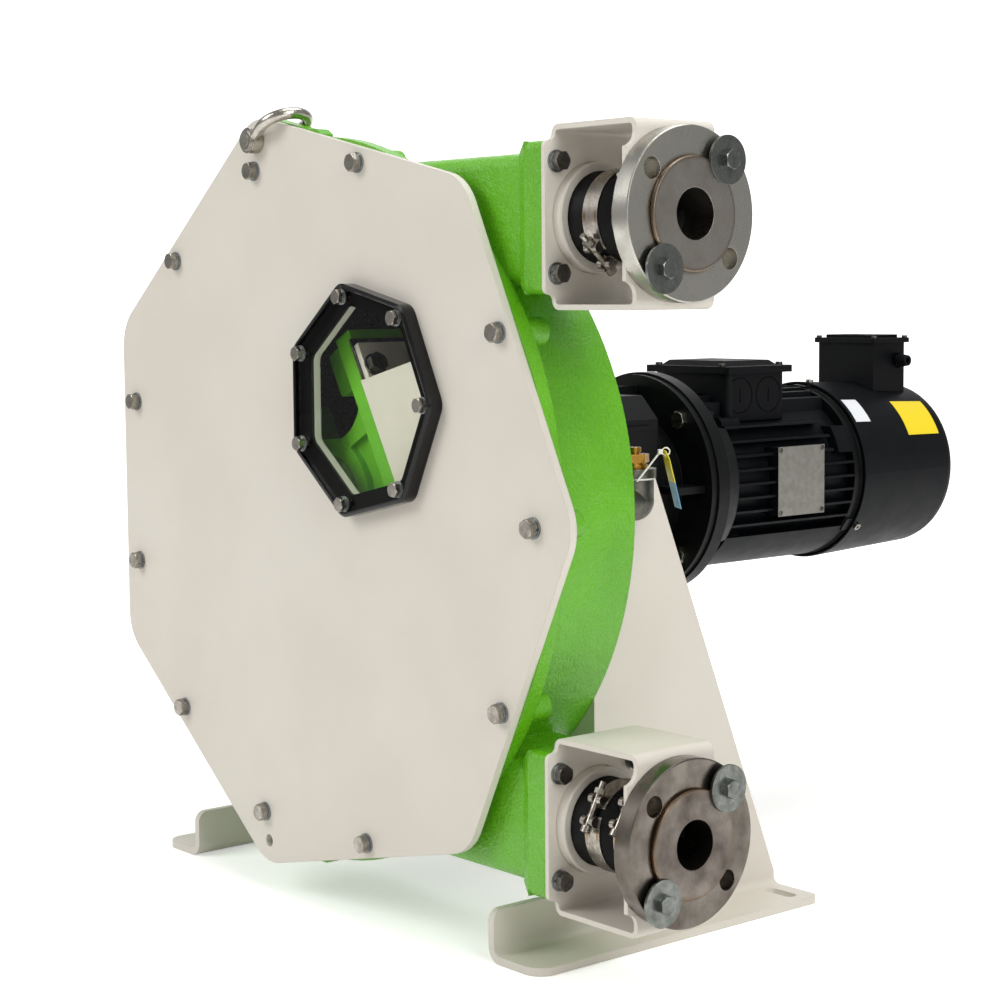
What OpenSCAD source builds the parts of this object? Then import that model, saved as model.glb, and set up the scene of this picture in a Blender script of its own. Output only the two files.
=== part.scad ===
// Peristaltic hose pump with its own gear motor.
// The pump head is a cast casing with two side horns and a heptagonal cover.
// A two-shoe rotor squeezes the reinforced hose against the round track.
// X points from the shaft to the two ports, Y points back to the motor, Z is up.
// Every module is drawn in pump coordinates, with the shaft on the line x = 0, z = 0
// and the cover's front face at y = 0. The last lines set the pump on its feet.

/* [Node] */
// the node that is drawn, or all of them

/* [Pump head] */
// height of the shaft above the floor
shaft_h = 421; // [380:1:460]
// distance from the shaft to each flat of the heptagonal cover
cover_apothem = 362; // [355:1:370]
// corner radius of the cover
cover_corner = 50; // [30:1:60]
// thickness of the cover
cover_t = 8; // [6:1:12]
// radius of the circle of cover bolts
cover_bolt_r = 347; // [342:1:350]
// radius of the round track that the hose lies against
track_r = 317; // [312:0.5:320]
// outer radius of the casing wall on the port side
drum_r = 321; // [318:1:328]
// outer radius of the casing wall behind the track
track_wall_r = 333; // [328:1:336]

/* [Hose and ports] */
// height of each port above and below the shaft
port_z = 275.3; // [272:0.1:278]
// distance of the hose's middle from the cover's front face
port_y = 74.2; // [72:0.1:78]
// outside diameter of the hose
hose_od = 83; // [80:0.5:84]
// bore of the hose
hose_id = 50; // [46:0.5:52]
// outside diameter of the loose port flange
flange_od = 152.4; // [150:0.1:165]
// bolt circle of the loose port flange
flange_pcd = 120.7; // [118:0.1:126]
// turn of the upper flange's hole pattern
upper_flange_turn = 6; // [0:1:20]
// turn of the lower flange's hole pattern
lower_flange_turn = 3; // [0:1:20]

/* [Rotor] */
// direction of the upper pressing shoe at rest, from the ports' side
rotor_angle = 29; // [0:1:360]
// radius of the shoe's pressing face
shoe_r = 285.7; // [280:0.1:288]
// width of the pressing shoes, along the shaft
shoe_w = 108; // [96:1:112]
// thickness of the shims under each shoe
shim_t = 3; // [1:0.5:6]

/* [Window] */
// sideways place of the window's middle
window_x = 102; // [90:1:110]
// height of the window's middle over the shaft
window_z = 105; // [95:1:110]
// distance from the window's middle to each flat of its rim
window_apothem = 106.5; // [100:0.5:110]
// radius of the circle of window bolts
window_bolt_r = 103.8; // [100:0.1:106]

/* [Supports] */
// outer face of each upright support plate
support_x = 263; // [258:1:264]
// outer edge of each foot
foot_x = 327; // [320:1:340]
// thickness of the support plates
support_t = 8; // [6:1:10]
// front edge of the feet
foot_front = 20; // [10:1:30]
// rear edge of the feet
foot_rear = 404; // [398:1:415]
// sideways place of the foot slots
slot_x = 295; // [285:1:300]
// distance between the front and rear foot slots
slot_pitch = 130; // [120:1:150]

/* [Drive] */
// height of the motor's axis against the pump shaft
motor_z = -10; // [-12:1:0]
// radius of the motor's mounting flange
motor_flange_r = 127; // [125:1:130]
// radius over the motor's cooling fins
motor_fin_r = 103; // [98:1:104]
// front radius of the fan cowl
cowl_r = 107.5; // [106:0.5:112]

/* [Shackle] */
// distance of the shackle pin from the corner of the cover
shackle_edge = 21.3; // [20:0.1:24]
// lean of the shackle's bow at rest, from the level
shackle_lean = 25; // [25:0.5:60]

/* [Hidden] */
$fn = 64;
e = 0.01;
seven = 360 / 7;
slot_mid_y = 315;
// the shoes sit over the middle of the hose, and the casing closes behind them
shoe_front = port_y - shoe_w / 2;
shoe_back = port_y + shoe_w / 2;
cavity_back = shoe_back + 8.8;
casing_depth = cavity_back + 12;
// the drive is drawn for a casing that is 149 deep and moves with its rear wall
drive_y = casing_depth - 149;
corner_r = (cover_apothem - cover_corner) / cos(seven / 2) + cover_corner;
shackle_r = corner_r - shackle_edge;
fill_z = 8;
horn_h = 68;
cover_angles = [75, 105, 135, 165, 195, 225, 255, 285, 330, 0, 30];
hose_r = hose_od / 2;
bore_r = hose_id / 2;
flange_face = 471.3;
flange_t = 19;
plate_x1 = flange_face - flange_t;
bracket_t = 5;
horn_face = 343;
lug_a = 2 * seven;
lug_pin_r = 6.08;
support_bolt_z = [-30, -110, -190];
frame_front = 517;
cowl_screw_a = [-36, 84, 204];

green = [0.36, 0.73, 0.15];
cream = [0.86, 0.84, 0.79];
black = [0.09, 0.09, 0.10];
rubber = [0.06, 0.06, 0.06];
steel = [0.62, 0.61, 0.59];
zinc = [0.50, 0.49, 0.47];
dark = [0.20, 0.20, 0.21];
brass = [0.74, 0.58, 0.28];
grey = [0.42, 0.42, 0.40];

// Helpers

// cylinder along Y between two places
module yc(r, y0, y1, x = 0, z = 0) {
    translate([x, y1, z]) rotate([90, 0, 0]) cylinder(r = r, h = y1 - y0);
}

// cone along Y, from radius ra at y0 to radius rb at y1
module ycone(ra, rb, y0, y1, x = 0, z = 0) {
    translate([x, y1, z]) rotate([90, 0, 0]) cylinder(r1 = rb, r2 = ra, h = y1 - y0);
}

// cylinder along X between two places
module xc(r, x0, x1, y = 0, z = 0) {
    translate([x0, y, z]) rotate([0, 90, 0]) cylinder(r = r, h = x1 - x0);
}

// cylinder along Z between two heights
module zc(r, z0, z1, x = 0, y = 0) {
    translate([x, y, z0]) cylinder(r = r, h = z1 - z0);
}

// box between two corners
module box(a, b) {
    translate(a) cube(b - a);
}

// outline in X and Z, drawn from y0 to y1
module yex(y0, y1) {
    translate([0, y1, 0]) rotate([90, 0, 0]) linear_extrude(height = y1 - y0) children();
}

// outline in Y and Z, drawn from x0 to x1
module xex(x0, x1) {
    translate([x0, 0, 0]) rotate([90, 0, 90]) linear_extrude(height = x1 - x0) children();
}

// shape turned about the Y axis, where the radius and angle are in the XZ plane
module turn_y(a) {
    rotate([0, -a, 0]) children();
}

// regular heptagon with one corner on +X and round corners of radius r
module hept(ap, r) {
    c = (ap - r) / cos(seven / 2);
    polygon([for (i = [0:6]) for (s = [-1, 1])
        [c * cos(i * seven) + r * cos(i * seven + s * seven / 2),
         c * sin(i * seven) + r * sin(i * seven + s * seven / 2)]]);
    for (i = [0:6]) translate([c * cos(i * seven), c * sin(i * seven)]) circle(r = r + 0.02);
}

// rectangle with round corners, centred
module rrect(w, h, r) {
    square([w - 2 * r, h], center = true);
    square([w, h - 2 * r], center = true);
    for (x = [-1, 1]) for (y = [-1, 1])
        translate([x * (w / 2 - r), y * (h / 2 - r)]) circle(r = r, $fn = 32);
}

// hexagon head with a turned chamfer, standing on z = 0
module hex_head(af, k) {
    intersection() {
        cylinder(r = af / sqrt(3), h = k, $fn = 6);
        cylinder(r1 = af / 2 + 1.73 * k, r2 = af / 2 * 0.99, h = k, $fn = 48);
    }
}

// hexagon bolt with its head's seat on z = 0, the shank going down
module hex_bolt(d, af, k, l) {
    hex_head(af, k);
    translate([0, 0, -l]) cylinder(d = d, h = l + e, $fn = 32);
}

// flat washer that stands on z = 0
module washer(id, od, t) {
    difference() {
        cylinder(d = od, h = t, $fn = 40);
        translate([0, 0, -1]) cylinder(d = id, h = t + 2, $fn = 32);
    }
}

// split spring washer that stands on z = 0
module spring_washer(id, od, t) {
    difference() {
        cylinder(d = od, h = t, $fn = 40);
        translate([0, 0, -1]) cylinder(d = id, h = t + 2, $fn = 32);
        rotate([25, 0, 0]) translate([0, -0.6, -t]) cube([od, 1.2, 4 * t]);
    }
}

// things that face forward, where local z points to the viewer's side, -Y
module face_front(y, x = 0, z = 0) {
    translate([x, y, z]) rotate([90, 0, 0]) children();
}

// things that face back, where local z points to +Y
module face_back(y, x = 0, z = 0) {
    translate([x, y, z]) rotate([-90, 0, 0]) children();
}

// things that face the ports' side, where local z points to +X
module face_port(x, y = 0, z = 0) {
    translate([x, y, z]) rotate([0, 90, 0]) children();
}

// Pump head

module horn(s) {
    translate([0, port_y, s * port_z]) {
        // passage from the round wall out to the port
        xex(10, 309) rrect(108, 2 * horn_h - 18, 14);
        // bevel between the passage and the port face
        intersection() {
            yex(-59, 59) polygon([
                [306, 10 - horn_h], [308, 9 - horn_h], [319.5, -horn_h],
                [319.5, horn_h], [308, horn_h - 9], [306, horn_h - 10]
            ]);
            translate([0, 0, -horn_h]) linear_extrude(height = 2 * horn_h)
                polygon([[306, -53], [308, -54], [319.5, -59], [319.5, 59], [308, 54], [306, 53]]);
        }
        xex(319, horn_face) rrect(118, 2 * horn_h, 8);
    }
}

module cover_boss(a) {
    turn_y(a) {
        yc(13.4, cover_t + 2, 50, cover_bolt_r);
        box([drum_r - 12, cover_t + 2, -9], [cover_bolt_r, 46, 9]);
    }
}

module casing() {
    color(green)
    difference() {
        union() {
            // front flange
            yc(cover_apothem + 3, cover_t, 23);
            // round wall, thicker behind the track
            yc(drum_r, 20, casing_depth);
            intersection() {
                yc(track_wall_r, 20, casing_depth);
                box([-400, 0, -400], [12, 200, 400]);
            }
            horn(1);
            horn(-1);
            for (a = cover_angles) cover_boss(a);
            // lifting lugs behind the two corners of the cover
            for (m = [0, 1]) mirror([0, 0, m]) {
                yex(cover_t, 23) intersection() {
                    hept(cover_apothem + 1, cover_corner);
                    rotate(lug_a) translate([corner_r - 61, -92]) square([80, 184]);
                }
                yex(cover_t, 23) polygon([[-19, 340], [-19, 365], [-12, 372.6], [10, 372.6],
                    [18, 367.4], [18, 340]]);
            }
            // pad of the filling port on the rear wall
            yc(21.5, casing_depth - 1, casing_depth + 8, 285, fill_z);
        }
        // chamber with the track on the left and room for the shoes on the right
        intersection() {
            yc(track_r, -1, cavity_back);
            box([-400, -5, -400], [6, 200, 400]);
        }
        yc(drum_r - 12, -1, cavity_back);
        // hose passages with a seat for each collar
        for (s = [-1, 1]) {
            xc(43.5, 4, 400, port_y, s * port_z);
            xc(50.1, 331, 400, port_y, s * port_z);
            for (y = [-46, 46]) for (z = [-49.5, 49.5])
                xc(5.1, 320, 400, port_y + y, s * port_z + z);
        }
        // groove for the cover's seal
        difference() {
            yc(327.6, -1, 11.6);
            yc(322.4, -2, 12);
        }
        for (a = cover_angles) turn_y(a) yc(5.1, -1, 42, cover_bolt_r);
        turn_y(lug_a) yc(lug_pin_r, -1, 60, shackle_r);
        turn_y(-lug_a) yc(6.5, -1, 60, shackle_r);
        // shaft opening, drive bolts, filling port and support bolts
        yc(90, cavity_back - 30, casing_depth + 40);
        for (i = [0:7]) turn_y(22.5 + 45 * i) yc(6.1, cavity_back - 10, casing_depth + 40, 107.5);
        yc(12.5, cavity_back - 30, casing_depth + 40, 285, fill_z);
        for (s = [-1, 1]) for (z = support_bolt_z)
            yc(6.1, casing_depth - 10, casing_depth + 40, s * 215, z);
    }
}

module cover_plate() {
    color(cream)
    difference() {
        yex(0, cover_t) hept(cover_apothem, cover_corner);
        for (a = cover_angles) turn_y(a) yc(5.5, -1, cover_t + 1, cover_bolt_r);
        turn_y(lug_a) yc(lug_pin_r, -1, 60, shackle_r);
        turn_y(-lug_a) yc(6.5, -1, 60, shackle_r);
        translate([window_x, 0, window_z]) {
            yex(-1, cover_t + 1) hept(86, 12);
            for (i = [0:6]) turn_y(i * seven) yc(4.1, -1, cover_t + 1, window_bolt_r);
        }
    }
}

module cover_seal() {
    color(rubber)
    difference() {
        yc(327.4, cover_t, 11.4);
        yc(322.6, 0, 20);
    }
}

module cover_bolts() {
    color(zinc)
    for (i = [0:10]) turn_y(cover_angles[i])
        face_front(-3.8, cover_bolt_r) rotate(i * 23) hex_bolt(10, 16, 6.4, 36);
}

// seats of the M10 heads on the cover and on the port brackets
module m10_seats() {
    for (i = [0:10]) turn_y(cover_angles[i]) face_front(0, cover_bolt_r) rotate(i * 40) children();
    for (s = [-1, 1]) for (y = [-46, 46]) for (z = [-49.5, 49.5])
        face_port(horn_face + bracket_t, port_y + y, s * port_z + z) rotate(y + z) children();
}

module flat_washers() {
    color(zinc) {
        m10_seats() washer(10.4, 20, 1.8);
        window_seats() washer(8.4, 16, 1.6);
    }
}

module spring_washers() {
    color(zinc) {
        m10_seats() translate([0, 0, 1.8]) spring_washer(10.4, 17.4, 2);
        window_seats() translate([0, 0, 1.6]) spring_washer(8.3, 14, 1.8);
    }
}

// Window

module window_rim() {
    color(rubber)
    translate([window_x, 0, window_z])
    difference() {
        union() {
            yex(-14, 0) hept(window_apothem, 17);
            yex(-15.5, -13) hept(window_apothem - 1.4, 16);
        }
        yex(-13, 1) hept(window_apothem - 2.8, 14.5);
        yex(-20, 1) hept(102.4, 9);
    }
}

module window_gasket() {
    color(rubber)
    translate([window_x, 0, window_z])
    difference() {
        yex(-3, 0) hept(window_apothem - 3, 14.3);
        yex(-5, 1) hept(86, 12);
        for (i = [0:6]) turn_y(i * seven) yc(4.4, -5, 1, window_bolt_r);
    }
}

module window_pane() {
    color([0.80, 0.86, 0.84, 0.35])
    translate([window_x, 0, window_z])
    difference() {
        yex(-13, -3) hept(window_apothem - 3, 14.3);
        for (i = [0:6]) turn_y(i * seven) yc(4.4, -20, 1, window_bolt_r);
    }
}

module window_bolts() {
    color(steel)
    translate([window_x, 0, window_z])
    for (i = [0:6]) turn_y(i * seven)
        face_front(-16.4, window_bolt_r) rotate(i * 17) hex_bolt(8, 13, 5.3, 23.5);
}

// seats of the heads on the pane
module window_seats() {
    translate([window_x, 0, window_z]) for (i = [0:6]) turn_y(i * seven)
        face_front(-13, window_bolt_r) rotate(i * 50) children();
}

// Hose, squeezed flat under the lower shoe and round everywhere else

nose_r = 40;
nose_c = shoe_r - nose_r;
shoe_taper = 15;
foot_r = 118.7;
seat_r = foot_r - shim_t;
base_w = nose_r / cos(shoe_taper) + (nose_c - foot_r) * tan(shoe_taper);
bolt_t = 88;
shoe_bolt_y = [shoe_front + 17, shoe_back - 17];
hose_n = 32;
hose_out = port_z + hose_r;
arc_a = concat([for (a = [90:8:178]) a], [for (a = [185:2:233]) a], [for (a = [238:8:270]) a]);

// inner radius of the hose at an angle from the middle of the lower shoe
squeeze_a = 22;
function hose_in(d) = abs(d) >= squeeze_a ? hose_out - hose_od
    : hose_out - hose_od + (shoe_r + 0.4 - hose_out + hose_od) * pow(cos(90 * d / squeeze_a), 2);
// a flat-sided oval of thickness t, with the half width of its flat sides h
function oval(t, h, i) =
    let (f = (i + 0.5) * 360 / hose_n)
    [t / 2 * cos(f) + h * sign(cos(f)), t / 2 * sin(f)];
// one ring of the hose in space
function hose_ring(x, a, t, u, h) =
    let (rc = hose_out - t / 2)
    [for (i = [0:hose_n - 1]) let (p = oval(u, h, i), r = rc + p[1])
        [x + r * cos(a), port_y + p[0], r * sin(a)]];
function hose_t(a) = hose_out - hose_in(a - rotor_angle - 180);
// stations: place along X, angle, thickness
hose_stations = concat(
    [[440, 90, hose_od]],
    [for (a = arc_a) [0, a, hose_t(a)]],
    [[440, 270, hose_od]]);

module hose() {
    n = hose_n;
    m = len(hose_stations);
    outer = [for (s = hose_stations)
        each hose_ring(s[0], s[1], s[2], s[2], PI * (hose_od - s[2]) / 4)];
    inner = [for (s = hose_stations)
        each hose_ring(s[0], s[1], s[2], max(0.8, s[2] - hose_od + hose_id),
            PI * (hose_od - s[2]) / 4)];
    o = n * m;
    sides = [for (j = [0:m - 2]) for (i = [0:n - 1])
        let (k = (i + 1) % n, a = j * n + i, b = j * n + k, c = a + n, d = b + n)
        each [[a, b, d], [a, d, c], [o + a, o + d, o + b], [o + a, o + c, o + d]]];
    q = n * (m - 1);
    caps = [for (i = [0:n - 1]) let (k = (i + 1) % n)
        each [[i, o + i, o + k], [i, o + k, k],
              [q + i, o + q + k, o + q + i], [q + i, q + k, o + q + k]]];
    color(rubber) polyhedron(points = concat(outer, inner), faces = concat(sides, caps));
}

// Ports

module port_bracket(s) {
    color(cream)
    translate([0, port_y, s * port_z])
    difference() {
        union() {
            // the folded box, open on its two sides
            yex(-47, 47) translate([(horn_face + plate_x1) / 2, 0]) difference() {
                rrect(plate_x1 - horn_face, 164, 9);
                rrect(plate_x1 - horn_face - 2 * bracket_t, 164 - 2 * bracket_t, 4);
            }
            // wings of the rear plate, rounded into the folds
            xex(horn_face, horn_face + bracket_t) {
                rrect(118, 2 * horn_h, 6);
                for (y = [0, 1]) for (z = [0, 1]) mirror([y, 0]) mirror([0, z])
                    translate([0, horn_h]) polygon([[45, -2], [54, -2], [54, -0.02], [50.8, 0.4],
                        [48.8, 1.75], [47.4, 3.7], [46.95, 6.2], [45, 6.2]]);
            }
            // wings of the front plate
            xex(plate_x1 - bracket_t, plate_x1) difference() {
                union() {
                    rrect(118, 116, 4);
                    for (y = [-1, 1]) for (z = [-1, 1])
                        translate([y * 52, z * 60]) square([14, 24], center = true);
                }
                for (y = [-1, 1]) for (z = [-1, 1]) translate([y * 60, z * 70]) circle(r = 13);
                for (y = [-1, 1]) for (z = [-1, 1])
                    translate([y * 59, z * 78]) square([24, 16], center = true);
            }
        }
        xc(50.2, horn_face - 1, horn_face + bracket_t + 1);
        xc(31, plate_x1 - 20, plate_x1 + 1);
        for (y = [-46, 46]) for (z = [-49.5, 49.5])
            xc(5.5, horn_face - 1, horn_face + 10, y, z);
        t = s > 0 ? upper_flange_turn : lower_flange_turn;
        for (i = [0, 2]) rotate([t + 45 + 90 * i, 0, 0])
            xc(5.5, plate_x1 - 20, plate_x1 + 1, flange_pcd / 2);
    }
}

module port_bracket_top() port_bracket(1);
module port_bracket_bottom() port_bracket(-1);

module bracket_bolts() {
    color(dark)
    for (s = [-1, 1]) for (y = [-46, 46]) for (z = [-49.5, 49.5])
        face_port(horn_face + bracket_t + 3.8, port_y + y, s * port_z + z)
            rotate(s * 20 + y) hex_bolt(10, 16, 6.4, 28);
}

module hose_collar(s) {
    color(cream)
    translate([0, port_y, s * port_z])
    difference() {
        union() {
            xc(50, 331, 357);
            translate([357, 0, 0]) rotate([0, 90, 0]) cylinder(r1 = 50, r2 = 48.5, h = 1.5);
        }
        xc(hose_r + 0.2, 330, 360);
    }
}

module hose_collar_top() hose_collar(1);
module hose_collar_bottom() hose_collar(-1);

// band clamp: x is the middle of its band, a the place of its bolt
module clamp(x, a) {
    translate([x, 0, 0]) rotate([a, 0, 0]) {
        difference() {
            xc(hose_r + 1.5, -9.5, 9.5);
            xc(hose_r + 0.2, -11, 11);
            box([-11, 30, -4], [11, 60, 4]);
        }
        // folded loops that hold the trunnions
        for (t = [-1, 1]) {
            difference() {
                union() {
                    xc(4.4, -8, 8, 46.8, t * 10.5);
                    box([-8, 38.4, t * 10.5 - 4.4], [8, 46.8, t * 10.5 + 4.4]);
                }
                xc(hose_r + 0.2, -11, 11);
                zc(3.2, -30, 30, 0, 46.8);
                // slot that shows the bolt
                box([-3.2, 46.8, t * 10.5 - 3], [3.2, 60, t * 10.5 + 3]);
            }
        }
    }
}

// the bolt's thread end points down the turn, or up it where f is 1
module clamp_bolt(x, a, f) {
    translate([x, 0, 0]) rotate([a, 0, 0]) translate([0, 46.8, 0]) mirror([0, 0, f]) {
        zc(3, -27, 17);
        difference() {
            zc(4.9, 15.2, 21.2);
            translate([0, 0, 18]) cylinder(r = 2.9, h = 10, $fn = 6);
        }
        translate([0, 0, -20.4]) cylinder(r = 5.2, h = 5, $fn = 6);
    }
}

clamp_x = [388.5, 426];
// the bolt's direction on each clamp, from the rear of the hose upwards
top_clamp_a = [228, 112];
bottom_clamp_a = [152, 148];

module hose_clamps_top() {
    color(steel) translate([0, port_y, port_z]) for (i = [0, 1]) clamp(clamp_x[i], top_clamp_a[i]);
}

module hose_clamps_bottom() {
    color(steel) translate([0, port_y, -port_z])
        for (i = [0, 1]) clamp(clamp_x[i], bottom_clamp_a[i]);
}

module clamp_bolts() {
    color(steel) for (i = [0, 1]) {
        translate([0, port_y, port_z]) clamp_bolt(clamp_x[i], top_clamp_a[i], i);
        translate([0, port_y, -port_z]) clamp_bolt(clamp_x[i], bottom_clamp_a[i], 0);
    }
}

module insert(s) {
    color(steel)
    translate([0, port_y, s * port_z])
    rotate([0, 90, 0]) rotate_extrude($fn = 96)
        polygon([
            [22.5, 368], [24.2, 368], [24.7, 372], [24.2, 380], [24.7, 384], [24.2, 392],
            [24.7, 396], [24.2, 404], [24.7, 408], [24.7, 441], [30.6, 444],
            [30.6, flange_face], [48.7, flange_face], [49.7, flange_face + 1],
            [49.7, flange_face + 3.6], [48.7, flange_face + 4.6], [22.5, flange_face + 4.6]
        ]);
}

module insert_top() insert(1);
module insert_bottom() insert(-1);

module port_flange(s, t) {
    color(steel)
    translate([0, port_y, s * port_z])
    difference() {
        union() {
            xc(flange_od / 2, plate_x1 + 1, flange_face - 1, $fn = 128);
            translate([flange_face - 1, 0, 0]) rotate([0, 90, 0])
                cylinder(r1 = flange_od / 2, r2 = flange_od / 2 - 1, h = 1, $fn = 128);
            xc(flange_od / 2 - 1, plate_x1, plate_x1 + 1, $fn = 128);
        }
        xc(30.9, 0, 500);
        for (i = [0:3]) rotate([t + 45 + 90 * i, 0, 0]) xc(9.5, 0, 500, flange_pcd / 2);
    }
}

module port_flange_top() port_flange(1, upper_flange_turn);
module port_flange_bottom() port_flange(-1, lower_flange_turn);

// the two clamping positions of each port
module flange_places() {
    for (s = [-1, 1]) {
        t = s > 0 ? upper_flange_turn : lower_flange_turn;
        for (i = [0, 2]) translate([0, port_y, s * port_z]) rotate([t + 45 + 90 * i, 0, 0])
            translate([flange_face + 4.6, flange_pcd / 2, 0]) rotate([0, 90, 0]) children();
    }
}

module flange_bolts() {
    color(zinc) flange_places() translate([0, 0, 2.5]) rotate(15) hex_bolt(10, 16, 6.4, 42);
}

module flange_washers() {
    color(zinc) flange_places() washer(10.5, 43, 2.5);
}

module flange_nuts() {
    color(zinc) flange_places() difference() {
        translate([0, 0, -flange_t - 4.6 - bracket_t - 8]) hex_head(16, 8);
        translate([0, 0, -60]) cylinder(r = 5.05, h = 50, $fn = 32);
    }
}

// Supports

// outline of the upright plate in Y and Z
module upright_outline() {
    difference() {
        polygon([
            [foot_front, -shaft_h + 16], [foot_front, -370], [casing_depth, -370],
            [casing_depth, 32], [229, 32], [foot_rear, -shaft_h + 21], [foot_rear, -shaft_h + 16]
        ]);
        translate([foot_front - 1, -382]) square([13, 13]);
    }
    translate([foot_front + 12, -382]) circle(r = 12.02);
}

module support(s) {
    fold_x = support_x + 8;
    fold_z = -shaft_h + 16;
    color(cream)
    mirror([s < 0 ? 1 : 0, 0, 0])
    difference() {
        union() {
            xex(support_x - support_t, support_x) upright_outline();
            // fold from the upright to the foot
            yex(foot_front, foot_rear) difference() {
                translate([fold_x, fold_z]) circle(r = 16);
                translate([fold_x, fold_z]) circle(r = 8);
                translate([fold_x, fold_z - 20]) square(40);
                translate([fold_x - 20, fold_z]) square(40);
            }
            // foot with round corners
            difference() {
                box([fold_x, foot_front, -shaft_h], [foot_x, foot_rear, -shaft_h + support_t]);
                difference() {
                    box([foot_x - 20, foot_front - 1, -shaft_h - 1], [foot_x + 1, foot_front + 20, 0]);
                    zc(20, -shaft_h - 2, 1, foot_x - 20, foot_front + 20);
                }
                difference() {
                    box([foot_x - 10, foot_rear - 10, -shaft_h - 1], [foot_x + 1, foot_rear + 1, 0]);
                    zc(10, -shaft_h - 2, 1, foot_x - 10, foot_rear - 10);
                }
            }
            // flange against the casing's rear wall
            box([175, casing_depth, -230], [support_x - 4, casing_depth + support_t, 32]);
        }
        for (y = [-1, 1]) translate([slot_x, slot_mid_y + y * slot_pitch / 2, -shaft_h - 1]) {
            for (x = [-12, 12]) translate([x, 0, 0]) cylinder(r = 7, h = 20);
            translate([-12, -7, 0]) cube([24, 14, 20]);
        }
        for (z = support_bolt_z) yc(6.6, 100, 200, 215, z);
    }
}

module support_right() support(1);
module support_left() support(-1);

module support_bolts() {
    color(zinc)
    for (s = [-1, 1]) for (z = support_bolt_z)
        face_back(casing_depth + support_t, s * 215, z) {
            washer(12.4, 24, 2.5);
            translate([0, 0, 2.5]) hex_bolt(12, 18, 7.5, 19);
        }
}

// Rotor

module output_shaft() {
    color(steel)
    difference() {
        union() {
            yc(30, shoe_front + 12, 300 + drive_y);
            yc(40, 172 + drive_y, 196 + drive_y);
            // key
            turn_y(rotor_angle + 90) box([26, shoe_front + 20, -9], [34, shoe_back - 18, 9]);
        }
        yc(8, 0, shoe_front + 50);
    }
}

module arm_outline() {
    // one arm along +X, waisted between the hub and the shoe's seat
    difference() {
        translate([0, -86]) square([94, 172]);
        for (m = [-1, 1]) translate([50, m * 98]) circle(r = 50);
        for (m = [-1, 1]) translate([-5, m * 76]) square([64, 40], center = true);
    }
}

module rotor_hub() {
    color(green)
    turn_y(rotor_angle)
    difference() {
        union() {
            yc(62, shoe_front + 12, shoe_back + 5.8);
            for (m = [0, 1]) mirror([m, 0, 0]) {
                yex(shoe_front + 20, shoe_back - 6) arm_outline();
                // curved ribs along both edges of the arm
                yex(shoe_front + 14, shoe_back) difference() {
                    arm_outline();
                    translate([6, 0]) circle(r = 44);
                    translate([20, -34]) square([80, 68]);
                }
                // flat seat of the shoe
                yex(shoe_front + 8, shoe_back + 2) translate([91, -134]) square([seat_r - 91, 268]);
                // blocks that take the shoe's bolts
                for (t = [-1, 1]) yex(shoe_front + 20, shoe_back - 18)
                    translate([74.5, t * 110]) rrect(35, 48, 6);
            }
        }
        yc(30.05, 0, 200);
        turn_y(90) box([25.9, shoe_front + 19.9, -9.05], [34.1, shoe_back + 8, 9.05]);
        for (m = [0, 1]) mirror([m, 0, 0]) for (t = [-bolt_t, bolt_t]) for (y = shoe_bolt_y)
            xc(6.1, 94, 130, y, t);
    }
}

module shoe_outline() {
    // tapered block that ends in the round nose
    polygon([
        [foot_r, -base_w], [nose_c + nose_r * sin(shoe_taper), -nose_r * cos(shoe_taper)],
        [nose_c + nose_r * sin(shoe_taper), nose_r * cos(shoe_taper)], [foot_r, base_w]
    ]);
    translate([nose_c, 0]) circle(r = nose_r, $fn = 128);
}

module press_shoe(a) {
    color(cream)
    turn_y(a)
    difference() {
        union() {
            yex(shoe_front, shoe_back) shoe_outline();
            // foot that the bolts pass through
            yex(shoe_front + 6, shoe_back - 4)
                translate([foot_r, -bolt_t - 26]) square([7, 2 * bolt_t + 52]);
        }
        for (t = [-bolt_t, bolt_t]) for (y = shoe_bolt_y) xc(7, 90, 130, y, t);
    }
}

module press_shoe_a() press_shoe(rotor_angle);
module press_shoe_b() press_shoe(rotor_angle + 180);

module shoe_shims() {
    color(cream)
    for (m = [0, 180]) turn_y(rotor_angle + m)
    difference() {
        box([seat_r, shoe_front + 4, -122], [foot_r, shoe_back, 122]);
        for (t = [-bolt_t, bolt_t]) for (y = shoe_bolt_y) xc(7, 90, 130, y, t);
    }
}

module shoe_bolts() {
    color(dark)
    for (m = [0, 180]) turn_y(rotor_angle + m)
        for (t = [-bolt_t, bolt_t]) for (y = shoe_bolt_y)
            face_port(foot_r + 7, y, t) {
                washer(12.4, 24, 2.5);
                translate([0, 0, 2.5]) hex_bolt(12, 19, 7.5, 32);
            }
}

module rotor_retainer() {
    color(zinc) {
        yc(45, shoe_front + 4, shoe_front + 12);
        face_front(shoe_front + 4) hex_bolt(15.9, 24, 10, 40);
    }
}

// Gear unit and motor

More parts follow.
